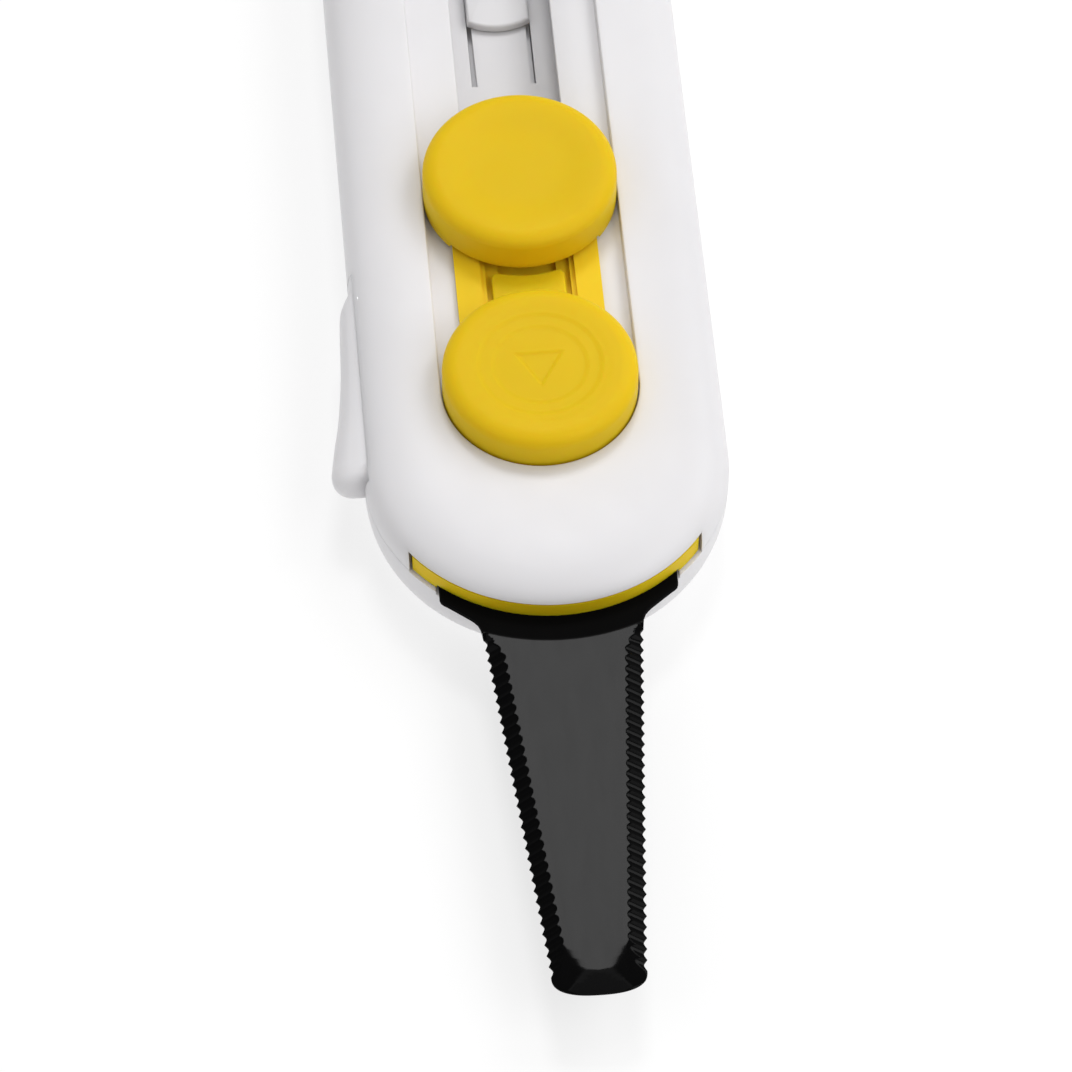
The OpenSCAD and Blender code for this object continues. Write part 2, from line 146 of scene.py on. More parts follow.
def noise(material, scale, detail=2.0, stretch=(1, 1, 1)):
    """Noise in object coordinates, scale per metre."""
    place = node(material, "ShaderNodeTexCoord")
    mapping = node(material, "ShaderNodeMapping", Scale=stretch)
    field = node(material, "ShaderNodeTexNoise", Scale=scale, Detail=detail)
    link(material, place.outputs["Object"], mapping.inputs["Vector"])
    link(material, mapping.outputs["Vector"], field.inputs["Vector"])
    return field


def tint(material, field, dark, light):
    """The base colour wanders between two tints."""
    ramp = node(material, "ShaderNodeValToRGB")
    for stop, place, colour in zip(ramp.color_ramp.elements, (0.35, 0.65), (dark, light)):
        stop.position = place
        stop.color = (*colour, 1)
    link(material, field.outputs["Fac"], ramp.inputs["Fac"])
    link(material, ramp.outputs["Color"],
         material.node_tree.nodes["Principled BSDF"].inputs["Base Color"])


def roughen(material, field, low, high):
    """The roughness wanders between two values."""
    spread = node(material, "ShaderNodeMapRange", **{"To Min": low, "To Max": high})
    link(material, field.outputs["Fac"], spread.inputs["Value"])
    link(material, spread.outputs["Result"],
         material.node_tree.nodes["Principled BSDF"].inputs["Roughness"])


def bump(material, field, height_m, strength=1.0):
    """Relief of the given height in metres."""
    relief = node(material, "ShaderNodeBump", Strength=strength, Distance=height_m)
    link(material, field.outputs["Fac"], relief.inputs["Height"])
    link(material, relief.outputs["Normal"],
         material.node_tree.nodes["Principled BSDF"].inputs["Normal"])


def moulded_plastic(name, dark, light, roughness, grain=1.0, **sockets):
    """Injection-moulded plastic: faint colour drift, uneven gloss and a very fine texture."""
    material = new_material(name, light, roughness, **sockets)
    tint(material, noise(material, 60, 3), dark, light)
    roughen(material, noise(material, 350, 4), roughness - 0.05, roughness + 0.07)
    bump(material, noise(material, 5200, 2), 0.0000025 * grain, 0.5)
    return material


WHITE_DEPTH = {"Subsurface_Weight": 0.35, "Subsurface_Radius": (1.0, 0.95, 0.9), "Subsurface_Scale": 0.0012}
YELLOW_RADIUS = (1.0, 0.6, 0.1)

WHITE = moulded_plastic("white_plastic", (0.745, 0.735, 0.75), (0.77, 0.76, 0.775), 0.4,
                        IOR=1.38, **WHITE_DEPTH)
WHITE_RAIL = moulded_plastic("white_rail_plastic", (0.75, 0.74, 0.755), (0.78, 0.77, 0.785), 0.45,
                             IOR=1.38, **WHITE_DEPTH)
YELLOW = moulded_plastic("yellow_plastic", (0.74, 0.5, 0.006), (0.77, 0.52, 0.007), 0.5, grain=2.0,
                         IOR=1.22, Subsurface_Weight=0.6, Subsurface_Radius=YELLOW_RADIUS,
                         Subsurface_Scale=0.0016)
# The same yellow plastic with its colour painted lighter, as painted light that makes up for the shade in the
# carriage's well between the buttons.
YELLOW_PAINTED_LIGHTER = moulded_plastic("yellow_plastic_painted_lighter", (0.83, 0.57, 0.014), (0.86, 0.59, 0.016), 0.5,
                              grain=2.0, IOR=1.22, Subsurface_Weight=0.3,
                              Subsurface_Radius=YELLOW_RADIUS, Subsurface_Scale=0.0006)

# The blade's matt root ends on an arc of this radius round the centre of the nose.
ROOT_FINISH_R = 18.75
ROOT_FADE = 0.12
ROOT_EXTRA_ROUGHNESS = 0.7


def black_coating():
    """Black coat: the blade's flat is ground smooth, and its root near the nose keeps a matt finish."""
    material = new_material("black_coated_steel", (0.0012, 0.0012, 0.0013), 0.15, IOR=1.14)
    shader = material.node_tree.nodes["Principled BSDF"]
    roughen(material, noise(material, 900, 5, (0.25, 1, 1)), 0.11, 0.19)
    ground = shader.inputs["Roughness"].links[0].from_socket
    place = node(material, "ShaderNodeTexCoord")
    radius = node(material, "ShaderNodeVectorMath", operation="DISTANCE")
    radius.inputs[1].default_value = (END_X * MM, 0, blade_high.z * MM)
    unground = node(material, "ShaderNodeMapRange", **{"From Min": (ROOT_FINISH_R - ROOT_FADE) * MM,
                                                       "From Max": (ROOT_FINISH_R + ROOT_FADE) * MM,
                                                       "To Min": ROOT_EXTRA_ROUGHNESS, "To Max": 0.0})
    total = node(material, "ShaderNodeMath", operation="ADD")
    link(material, place.outputs["Object"], radius.inputs[0])
    link(material, radius.outputs["Value"], unground.inputs["Value"])
    link(material, unground.outputs["Result"], total.inputs[0])
    link(material, ground, total.inputs[1])
    link(material, total.outputs["Value"], shader.inputs["Roughness"])
    bump(material, noise(material, 2600, 4, (0.3, 1, 1)), 0.000003, 0.6)
    return material


def plain_steel(name, roughness):
    material = new_material(name, (0.62, 0.62, 0.63), roughness, Metallic=1.0)
    roughen(material, noise(material, 1500, 3, (0.1, 1, 1)), roughness - 0.06, roughness + 0.1)
    bump(material, noise(material, 4000, 2, (0.1, 1, 1)), 0.000002, 0.5)
    return material


BLACK = black_coating()
STEEL = plain_steel("spring_steel", 0.28)
ZINC = plain_steel("zinc_plated_steel", 0.36)


# ---- mesh tools ----

# Edges that turn by more than this many degrees stay sharp.
SHARP = 32
SHARP_ROUNDED = 40


def lerp(a, b, t):
    return a + (b - a) * t


def ease(t):
    """Smooth step from 0 to 1."""
    t = min(1, max(0, t))
    return t * t * (3 - 2 * t)


def mesh_object(name, points, faces, material, sharp_angle=SHARP):
    """A mesh piece from points in millimetres, with merged points and smooth shading between edges."""
    mesh = bpy.data.meshes.new(name)
    mesh.from_pydata([tuple(c * MM for c in p) for p in points], [], faces)
    made = bmesh.new()
    made.from_mesh(mesh)
    bmesh.ops.remove_doubles(made, verts=made.verts, dist=2e-7)
    bmesh.ops.dissolve_degenerate(made, edges=made.edges, dist=1e-8)
    bmesh.ops.recalc_face_normals(made, faces=made.faces)
    made.to_mesh(mesh)
    made.free()
    for face in mesh.polygons:
        face.use_smooth = True
    mesh.set_sharp_from_angle(angle=math.radians(sharp_angle))
    piece = bpy.data.objects.new(name, mesh)
    bpy.context.collection.objects.link(piece)
    piece.data.materials.append(material)
    return piece


def grid_faces(columns, rows, close_columns=False, close_rows=False):
    """Quads over points stored column by column."""
    faces = []
    for i in range(columns if close_columns else columns - 1):
        for j in range(rows if close_rows else rows - 1):
            a, b = i * rows, (i + 1) % columns * rows
            k = (j + 1) % rows
            faces.append((a + j, b + j, b + k, a + k))
    return faces


def end_faces(columns, rows):
    """The two faces that close a loft's first and last row."""
    return [tuple(i * rows for i in range(columns)),
            tuple(i * rows + rows - 1 for i in reversed(range(columns)))]


def join(pieces, name):
    """Joins mesh pieces into the first one."""
    made = bmesh.new()
    for piece in pieces:
        made.from_mesh(piece.data)
    made.to_mesh(pieces[0].data)
    made.free()
    for piece in pieces[1:]:
        bpy.data.objects.remove(piece)
    pieces[0].name = name
    return pieces[0]


def carve(piece, cutters):
    """Cuts the cutters out of the piece for good, and throws them away."""
    for cutter in cutters:
        cut = piece.modifiers.new("cut", "BOOLEAN")
        cut.operation = "DIFFERENCE"
        cut.solver = "EXACT"
        cut.object = cutter
    graph = bpy.context.evaluated_depsgraph_get()
    mesh = bpy.data.meshes.new_from_object(piece.evaluated_get(graph))
    piece.modifiers.clear()
    piece.data = mesh
    for face in mesh.polygons:
        face.use_smooth = True
    mesh.set_sharp_from_angle(angle=math.radians(SHARP))
    for cutter in cutters:
        bpy.data.objects.remove(cutter)


def lathe(name, profile, material, centre, segments=96, lift=None, sharp_angle=SHARP):
    """A turned piece: profile points are (radius, height), lift adds height to a point."""
    points = []
    for i in range(segments):
        angle = 2 * math.pi * i / segments
        for radius, height in profile:
            x, y = radius * math.cos(angle), radius * math.sin(angle)
            extra = lift(x, y, height) if lift else 0
            points.append((centre[0] + x, centre[1] + y, centre[2] + height + extra))
    is_tube = profile[0][0] > 0
    faces = grid_faces(segments, len(profile), True, is_tube)
    return mesh_object(name, points, faces, material, sharp_angle)


def slab(name, outline, levels, material):
    """A flat piece lofted from its plan, run anticlockwise; a level is (height, how far it is drawn in)."""
    count = len(outline)
    points = []
    for i, (x, y) in enumerate(outline):
        way = (Vector(outline[(i + 1) % count]) - Vector(outline[i - 1])).normalized()
        points += [(x - way.y * inset, y + way.x * inset, z) for z, inset in levels]
    rows = len(levels)
    faces = grid_faces(count, rows, True, False) + end_faces(count, rows)
    return mesh_object(name, points, faces, material, SHARP_ROUNDED)


def rounded(low, high, radius):
    """Levels for a slab whose upper edge is rounded and whose lower edge is slightly broken."""
    steps = 4
    levels = [(low, 0.1), (low + 0.1, 0)]
    for i in range(steps + 1):
        turn = math.pi / 2 * i / steps
        levels.append((high - radius + radius * math.sin(turn), radius * (1 - math.cos(turn))))
    return levels


def arc(centre_r, centre_z, radius, start, end, steps):
    """Profile points on an arc, angles in degrees from the +radius direction."""
    return [(centre_r + radius * math.cos(math.radians(start + (end - start) * i / steps)),
             centre_z + radius * math.sin(math.radians(start + (end - start) * i / steps)))
            for i in range(steps + 1)]


def smooth_curve(corners, steps):
    """An open Catmull-Rom curve through the corners."""
    curve = []
    last = len(corners) - 1
    for i in range(last):
        p0, p1, p2, p3 = (Vector(corners[min(max(i + k, 0), last)]) for k in (-1, 0, 1, 2))
        for s in range(steps):
            t = s / steps
            point = 0.5 * ((2 * p1) + (p2 - p0) * t + (2 * p0 - 5 * p1 + 4 * p2 - p3) * t * t
                           + (3 * p1 - p0 - 3 * p2 + p3) * t ** 3)
            curve.append((point.x, point.y))
    return curve + [tuple(corners[-1])]


def soften(piece, width_mm):
    """Rounds the edges of a piece with a bevel."""
    edge = piece.modifiers.new("soft_edges", "BEVEL")
    edge.width = width_mm * MM
    edge.segments = 3
    edge.limit_method = "ANGLE"
    edge.angle_limit = math.radians(35)
    edge.harden_normals = False
    flats = piece.modifiers.new("flat_faces", "WEIGHTED_NORMAL")
    flats.keep_sharp = True


# ---- the shells: rings of points round the handle's stadium plan ----

MOUTH_ANGLE = math.degrees(math.asin(MOUTH_HALF / HALF_WIDTH))
TROUGH_ANGLE = math.degrees(math.asin(TROUGH_HALF / HALF_WIDTH))
WINDOW_REAR_X = lever_low.x - 0.25
WINDOW_FRONT_X = lever_high.x + 0.25
WINDOW_ANGLE = -90 + math.degrees(math.asin((WINDOW_FRONT_X - END_X) / HALF_WIDTH))


def plan_columns():
    """Columns round the plan: (place on the axis, direction in degrees, what the wall opens to there)."""
    columns = []
    edge = 0.55
    side_step, bend_step = 1.3, 2.5

    def side(x_from, x_to, angle, opening=""):
        count = max(1, round(abs(x_to - x_from) / side_step))
        for i in range(count + 1):
            columns.append((lerp(x_from, x_to, i / count), angle, opening))

    def bend(x, a_from, a_to, opening=""):
        count = max(1, round(abs(a_to - a_from) / bend_step))
        for i in range(count + 1):
            columns.append((x, lerp(a_from, a_to, i / count), opening))

    bend(END_X, -TROUGH_ANGLE, TROUGH_ANGLE, "trough")
    bend(END_X, TROUGH_ANGLE, MOUTH_ANGLE, "mouth")
    bend(END_X, MOUTH_ANGLE, MOUTH_ANGLE + edge)
    bend(END_X, MOUTH_ANGLE + edge, 90)
    side(END_X, -END_X, 90)
    bend(-END_X, 90, 270)
    side(-END_X, WINDOW_REAR_X, 270)
    side(WINDOW_REAR_X, END_X, 270, "window")
    bend(END_X, 270, 360 + WINDOW_ANGLE, "window")
    bend(END_X, 360 + WINDOW_ANGLE, 360 - MOUTH_ANGLE - edge)
    bend(END_X, 360 - MOUTH_ANGLE - edge, 360 - MOUTH_ANGLE)
    bend(END_X, 360 - MOUTH_ANGLE, 360 - TROUGH_ANGLE, "mouth")
    return columns


def signed_angle(angle):
    """The same direction between -180 and 180 degrees."""
    return (angle + 180) % 360 - 180


def turned(angle, radius):
    """Direction for a point at this radius, so that the mouth's sides run parallel to the handle."""
    fade_over = 30
    signed = signed_angle(angle)
    size = abs(signed)
    reach = max(radius, INNER_R - 0.05)
    if size <= MOUTH_ANGLE:
        extra = math.degrees(math.asin(HALF_WIDTH * math.sin(math.radians(size)) / reach)) - size
    else:
        full = math.degrees(math.asin(min(1, MOUTH_HALF / reach))) - MOUTH_ANGLE
        extra = full * max(0, 1 - (size - MOUTH_ANGLE) / fade_over)
    return angle + math.copysign(extra, signed)


def outer_point(column, radius, z):
    """A point of the shell at this distance from the stadium's spine."""
    x, angle, _ = column
    in_nose_wall = x > 0 and radius > FLANK_R - 0.1
    way = math.radians(turned(angle, radius) if in_nose_wall else angle)
    return (x + radius * math.cos(way), radius * math.sin(way), z)


def recess_axis(x):
    """Place on the recess's spine that belongs to a place on the shell's."""
    return lerp(RECESS_REAR_X, RECESS_FRONT_X, (x + END_X) / (2 * END_X))


def recess_point(column, radius, z):
    x, angle, _ = column
    way = math.radians(angle)
    return (recess_axis(x) + radius * math.cos(way), radius * math.sin(way), z)


def slot_point(column, grow, z):
    """On the slot's rectangle, which the plan's bends wrap round."""
    x, angle, _ = column
    angle %= 360
    half = SLOT_HALF + grow
    front, rear = SLOT_FRONT_X + grow, SLOT_REAR_X - grow
    if angle in (90, 270):
        return (recess_axis(x), half if angle == 90 else -half, z)
    forward = x > 0
    signed = signed_angle(angle) if forward else angle - 180
    corner = 45
    end_x = front if forward else rear
    if abs(signed) <= corner:
        y = half * signed / corner
        return (end_x, y if forward else -y, z)
    share = (abs(signed) - corner) / (90 - corner)
    y = math.copysign(half, signed)
    return (lerp(end_x, RECESS_FRONT_X if forward else RECESS_REAR_X, share), y if forward else -y, z)


def soft_curve(angle):
    """Point of the shell's soft-cornered outline, as shares of its reach and rise."""
    c, s = math.cos(math.radians(angle)), math.sin(math.radians(angle))
    size = (abs(c) ** OUTLINE_POWER + abs(s) ** OUTLINE_POWER) ** (1 / OUTLINE_POWER)
    return c / size, s / size


def angle_at_rise(share):
    """Angle at which the soft curve has risen by this share."""
    c = (1 - share ** OUTLINE_POWER) ** (1 / OUTLINE_POWER)
    return math.degrees(math.atan2(share, c))


def crown_height(x, y):
    """Height of the crown above a place in plan."""
    distance = math.hypot(max(abs(x) - END_X, 0), y)
    share = max(0, (distance - OUTLINE_FLAT) / (HALF_WIDTH - OUTLINE_FLAT))
    return PARTING_Z + (CROWN_Z - PARTING_Z) * max(0, 1 - share ** OUTLINE_POWER) ** (1 / OUTLINE_POWER)


def shell_ring(profile, rim_z, side):
    """The profile with everything past the rim height flattened onto it, spread evenly."""
    past = [i for i, (r, z) in enumerate(profile) if (z - rim_z) * side < -1e-6]
    if not past:
        return profile
    first, last = past[0] - 1, past[-1] + 1
    flat = list(profile)
    r_from, r_to = profile[first][0], profile[last][0]
    for i in past:
        flat[i] = (lerp(r_from, r_to, (i - first) / (last - first)), rim_z)
    return flat


def upper_skin():
    """The upper half: from the slot over its ledge, the recess's wall and the crown to the inner ceiling."""
    reach, rise = HALF_WIDTH - OUTLINE_FLAT, CROWN_Z - PARTING_Z
    edge, corner = 0.15, 0.12
    lip_angle = angle_at_rise((CEILING_Z - PARTING_Z) / rise)
    crown_share = (FLANK_R - OUTLINE_FLAT) / reach
    crown_angle = math.degrees(math.atan2((1 - crown_share ** OUTLINE_POWER) ** (1 / OUTLINE_POWER),
                                          crown_share))
    angles = [lerp(crown_angle, lip_angle, i / 12) for i in range(1, 13)]
    angles += [lerp(lip_angle, 1.5, i / 8) for i in range(1, 9)]
    flank = [(OUTLINE_FLAT + reach * c, PARTING_Z + rise * s) for c, s in map(soft_curve, angles)]
    walls = flank + [(HALF_WIDTH - 0.02, PARTING_Z + 0.08), (HALF_WIDTH - 0.12, PARTING_Z),
                     (INNER_R, PARTING_Z), (INNER_R, PARTING_Z + 0.7), (FLANK_R + 0.1, CEILING_Z)]
    open_walls = shell_ring(walls, CEILING_Z, 1)
    points = []
    columns = plan_columns()
    for column in columns:
        ring = [slot_point(column, 0, CEILING_Z),
                slot_point(column, 0, LEDGE_Z - 0.12),
                slot_point(column, 0.04, LEDGE_Z - 0.04),
                slot_point(column, 0.12, LEDGE_Z)]
        ring.append(recess_point(column, RECESS_R - 0.8, LEDGE_Z))
        wall = arc(RECESS_R - corner, LEDGE_Z + corner, corner, -90, 0, 3)
        wall += arc(RECESS_R + edge, CROWN_Z - edge, edge, 180, 90, 4)
        ring += [recess_point(column, r, z) for r, z in wall]
        start = Vector(recess_point(column, RECESS_R + edge, 0))
        end = Vector(outer_point(column, FLANK_R, 0))
        for i in range(1, 10):
            place = start.lerp(end, i / 9)
            ring.append((place.x, place.y, crown_height(place.x, place.y)))
        ring += [outer_point(column, r, z) for r, z in (open_walls if column[2] else walls)]
        ring.append(recess_point(column, RECESS_R, CEILING_Z))
        points.append(ring)
    rows = len(points[0])
    return mesh_object("upper_shell_skin", [p for ring in points for p in ring],
                       grid_faces(len(points), rows, True, True), WHITE)


def lower_skin():
    """The lower half: from the inner floor over the rim and down the flank to the flat underside."""
    reach = HALF_WIDTH - LOWER_FLAT
    angles = [lerp(1.5, 90, i / 26) for i in range(27)]
    flank = [(LOWER_FLAT + reach * c, PARTING_Z - PARTING_Z * s) for c, s in map(soft_curve, angles)]
    walls = ([(12, FLOOR_Z), (INNER_R - 0.13, lever_low.z - 0.14)]
             + [(INNER_R, lerp(4, PARTING_Z, i / 4)) for i in range(5)]
             + [(HALF_WIDTH - 0.12, PARTING_Z), (HALF_WIDTH - 0.02, PARTING_Z - 0.08)]
             + flank)
    rings = {"": walls,
             "mouth": shell_ring(walls, MOUTH_LOW_Z, -1),
             "trough": shell_ring(walls, TROUGH_LOW_Z, -1),
             "window": shell_ring(walls, lever_low.z - 0.12, -1)}
    points = []
    columns = plan_columns()
    for column in columns:
        ring = [outer_point(column, 0, FLOOR_Z), outer_point(column, 6, FLOOR_Z)]
        ring += [outer_point(column, r, z) for r, z in rings[column[2]]]
        ring += [outer_point(column, 5, 0), outer_point(column, 2.5, 0), outer_point(column, 0, 0)]
        points.append(ring)
    rows = len(points[0])
    return mesh_object("lower_shell_skin", [p for ring in points for p in ring],
                       grid_faces(len(points), rows, True, False), WHITE)


def round_cutter(name, x, y, radius, low, high, flare=0.0):
    """A cylinder to cut with, its ends flared by a small round so that the hole's rims come out soft."""
    profile = [(0, low - 1), (radius + flare, low - 1)]
    if flare:
        profile += [(r, z) for r, z in arc(radius + flare, low + flare, flare, 270, 180, 5)]
        profile += [(r, z) for r, z in arc(radius + flare, high - flare, flare, 180, 90, 5)]
    profile += [(radius + flare, high + 1), (0, high + 1)]
    return lathe(name, profile, WHITE, (x, y, 0), 48)


def tube(name, x, y, outer, inner, low, high):
    """A plain boss with softened ends."""
    soft = 0.15
    profile = [(inner, low), (outer, low), (outer, high - soft), (outer - soft, high),
               (inner + soft, high), (inner, high - soft)]
    return lathe(name, profile, WHITE, (x, y, 0), 48)


def bar(name, low, high, material, soft=0.12):
    """A straight rib or bar with chamfered long edges."""
    x0, y0, z0 = low
    x1, y1, z1 = high
    section = [(y0 + soft, z0), (y1 - soft, z0), (y1, z0 + soft), (y1, z1 - soft),
               (y1 - soft, z1), (y0 + soft, z1), (y0, z1 - soft), (y0, z0 + soft)]
    points = [(x, y, z) for x in (x0, x0 + soft, x1 - soft, x1) for y, z in section]
    for i, (x, y, z) in enumerate(points):
        if x in (x0, x1):
            points[i] = (x, lerp(y, (y0 + y1) / 2, soft / (y1 - y0)),
                         lerp(z, (z0 + z1) / 2, soft / (z1 - z0)))
    faces = grid_faces(4, 8, False, True) + [tuple(range(8)), tuple(range(31, 23, -1))]
    return mesh_object(name, points, faces, material)


SCREW_PLACES = [(0, 11.4), (0, -11.4), (-42, 10.4), (-42, -10.4)]
BOSS_R = 2.1
HEAD_R = 2
HEAD_DEPTH = 1.5
LANYARD_BOSS_R = 4.2


def build_upper_shell():
    skin = upper_skin()
    carve(skin, [round_cutter("cut", LANYARD_X, 0, LANYARD_R, CEILING_Z - 3, CROWN_Z, 0.5)])
    bosses = [tube("boss", x, y, BOSS_R, 0.8, PARTING_Z, CEILING_Z + 0.3) for x, y in SCREW_PLACES]
    bosses.append(tube("boss", LANYARD_X, 0, LANYARD_BOSS_R, LANYARD_R, PARTING_Z, CROWN_Z - 0.8))
    piece = join([skin] + bosses, "upper_shell_skin")
    piece.data.set_sharp_from_angle(angle=math.radians(SHARP))
    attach(piece, "housing")
    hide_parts("upper_shell")


def build_lower_shell():
    skin = lower_skin()
    cutters = [round_cutter("cut", x, y, HEAD_R, -2, HEAD_DEPTH) for x, y in SCREW_PLACES]
    cutters.append(round_cutter("cut", LANYARD_X, 0, LANYARD_R, 0, FLOOR_Z + 3, 0.5))
    carve(skin, cutters)
    extras = [tube("boss", x, y, BOSS_R, 1.1, FLOOR_Z - 0.3, PARTING_Z) for x, y in SCREW_PLACES]
    extras.append(tube("boss", LANYARD_X, 0, LANYARD_BOSS_R, LANYARD_R, 0.8, PARTING_Z))
    rib_low = FLOOR_Z - 0.3
    extras += [bar("rib", (-44, y - 0.5, rib_low), (NOSE_X - 9, y + 0.5, rail_low.z), WHITE)
               for y in (-5.7, 5.7)]
    extras.append(bar("rib", (lever_low.x + 9, -13.7, rib_low), (lever_low.x + 21, -13.1, PARTING_Z),
                      WHITE))
    piece = join([skin] + extras, "lower_shell_skin")
    piece.data.set_sharp_from_angle(angle=math.radians(SHARP))
    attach(piece, "housing")
    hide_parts("lower_shell")


# ---- thumb buttons ----

CAP_CEILING_Z = 12.3
SKIRT_CLEARANCE = 0.45
SKIRT_Z = LEDGE_Z + SKIRT_CLEARANCE
SKIRT_NOTCH_Z = tray_high.z + SKIRT_CLEARANCE
CAP_INNER_R = 7.6
CAP_SEGMENTS = 240
DISH_R = 6.9
STEM_R = 2.0


def cap_profile(radius, top_z, dish_r, dish_depth, terraces=()):
    """Cap from the ceiling's centre round the skirt and the broad rim to the middle of the dish."""
    rim_wide, rim_high = 1.6, 1.2
    profile = [(0, CAP_CEILING_Z), (CAP_INNER_R - 0.3, CAP_CEILING_Z), (CAP_INNER_R, CAP_CEILING_Z - 0.3),
               (CAP_INNER_R, SKIRT_Z + 0.1), (CAP_INNER_R + 0.1, SKIRT_Z), (radius - 0.2, SKIRT_Z),
               (radius - 0.06, SKIRT_Z + 0.06), (radius, SKIRT_Z + 0.2), (radius, SKIRT_Z + 1.1)]
    for i in range(17):
        turn = math.radians(90 * i / 16)
        profile.append((radius - rim_wide * (1 - math.cos(turn)), top_z - rim_high * (1 - math.sin(turn))))
    steps = 110
    slope_wide, step_wide = 3.2, 0.64
    for i in range(1, steps + 1):
        r = lerp(radius - rim_wide, 0.0, i / steps)
        height = top_z - dish_depth * ease((dish_r + 0.3 - r) / slope_wide)
        height -= sum(depth * ease((ring + step_wide / 2 - r) / step_wide) for ring, depth in terraces)
        profile.append((r, height))
    return profile


def notch_lift(x, y, height):
    """Lifts the skirt's edge over the carriage's rails, which run towards +x."""
    if height > SKIRT_Z + 0.3:
        return 0
    notch_half, side_wide = 6.95, 0.12
    notch_start, start_wide = 1.8, 0.6
    rise = (SKIRT_NOTCH_Z - SKIRT_Z) * ease((notch_half - abs(y)) / side_wide)
    return rise * ease((x - notch_start) / start_wide)


def front_lift(x, y, height):
    """The skirt's notch, and the shallow sunk triangle that points at the blade."""
    if height < CAP_CEILING_Z + 0.5:
        return notch_lift(-x, y, height)
    corners = [Vector((2.15, 0)), Vector((-1.4, 2.12)), Vector((-1.4, -2.12))]
    inside = []
    for i in range(3):
        a, b = corners[i], corners[(i + 1) % 3]
        normal = Vector((-(b - a).y, (b - a).x)).normalized()
        inside.append((Vector((x, y)) - a).dot(normal))
    sunk, edge_wide = 0.12, 0.44
    return -sunk * ease((min(inside) + edge_wide / 2) / edge_wide)


def button_stem(x):
    """The stem below a cap, with the groove for its washer near the foot."""
    groove_r = STEM_R - 0.5
    profile = [(0, 6.2), (STEM_R - 0.2, 6.2), (STEM_R, 6.35), (groove_r, 6.36), (groove_r, 6.78),
               (STEM_R, 6.8), (STEM_R, CAP_CEILING_Z - 0.3), (STEM_R + 0.3, CAP_CEILING_Z + 0.1),
               (0, CAP_CEILING_Z + 0.1)]
    return lathe("stem", profile, YELLOW, (x, 0, 0), 40)


def build_front_button():
    """The cap with its rings and triangle, and the tongue that reaches back towards the rear button."""
    rings = ((6.4, 0.03), (5.57, 0.09), (4.24, 0.09))
    cap = lathe("front_button_cap", cap_profile(FRONT_CAP_R, front_high.z, DISH_R, 0.1, rings), YELLOW,
                (FRONT_X, 0, 0), CAP_SEGMENTS, front_lift, SHARP_ROUNDED)
    gap_r = BUTTON_R + 0.35
    tongue_half, corner_r, thick = 3.4, 0.8, 0.4
    tongue_low = tray_high.z - thick
    front = FRONT_X - 7.3
    outline = [(front, tongue_half)]
    for i in range(25):
        y = lerp(tongue_half, -tongue_half, i / 24)
        corner = max(0, corner_r - (tongue_half - abs(y)))
        drawn_in = corner_r - math.sqrt(max(0, corner_r ** 2 - corner ** 2))
        outline.append((REAR_X + math.sqrt(gap_r ** 2 - y * y) + drawn_in, y))
    outline.append((front, -tongue_half))
    tongue = slab("tongue", outline, rounded(tongue_low, tray_high.z, 0.2), YELLOW)
    web = bar("web", (front - 1.3, -tongue_half, tongue_low), (front, tongue_half, CAP_CEILING_Z), YELLOW)
    piece = join([cap, tongue, web, button_stem(FRONT_X)], "front_button_cap")
    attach(piece, "front_thumb_button")
    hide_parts("front_button")


def build_rear_button():
    cap = lathe("rear_button_cap", cap_profile(BUTTON_R, rear_high.z, DISH_R, 0.24), YELLOW,
                (REAR_X, 0, 0), CAP_SEGMENTS, notch_lift, SHARP_ROUNDED)
    piece = join([cap, button_stem(REAR_X)], "rear_button_cap")
    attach(piece, "rear_thumb_button")
    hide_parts("rear_button")


# ---- guide rail ----

def build_guide_rail():
    """Slot floor with its spring tongue: two slits that narrow downwards, and the raised lock pad."""
    top = rail_low.z + 1.2
    slit_front, slit_rear = 1.9, -20.0
    slit_outer, slit_foot, slit_depth = 3.06, 2.98, 0.95
    rail = bar("guide_rail_skin", tuple(rail_low), (rail_high.x, rail_high.y, top), WHITE_RAIL)
    cutters = []
    for side in (-1, 1):
        points = []
        for x, inner in ((slit_rear, 2.72), (slit_front, 2.55)):
            section = [(slit_foot, 0), (slit_outer, 0), (slit_outer, top + 0.05), (inner, top + 0.05),
                       (inner, top - slit_depth), (slit_foot, top - slit_depth)]
            points += [(x, side * y, z) for y, z in section]
        faces = [tuple(range(6)), tuple(range(11, 5, -1))]
        faces += [(i, i + 6, (i + 1) % 6 + 6, (i + 1) % 6) for i in range(6)]
        cutters.append(mesh_object("slit", points, faces, WHITE_RAIL))
    cutters.append(bar("slit", (slit_rear, -3.05, 0), (slit_rear + 0.5, 3.05, 20), WHITE_RAIL, 0.02))
    for x in (-38, NOSE_X - 12.5):
        cutters.append(round_cutter("hole", x, 0, 1.1, 0, 20))
        cutters.append(round_cutter("hole", x, 0, 2.1, top + 0.2, 20))
    carve(rail, cutters)
    pad_half, pad_front, pad_r = 3.0, -4.55, 5.8
    pad_rear = slit_rear + 1.6
    outline = [(pad_rear, pad_half), (pad_rear, -pad_half)]
    for i in range(17):
        y = lerp(-pad_half, pad_half, i / 16)
        outline.append((pad_front - pad_r + math.sqrt(pad_r ** 2 - y * y), y))
    pad = slab("pad", outline, rounded(top + 0.1, rail_high.z, 0.3), WHITE_RAIL)
    foot = bar("foot", (pad_rear, -2.5, top - 0.3), (pad_front - 0.9, 2.5, top + 0.4), WHITE_RAIL)
    piece = join([rail, pad, foot], "guide_rail_skin")
    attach(piece, "housing")
    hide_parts("guide_rail")


# ---- blade ----

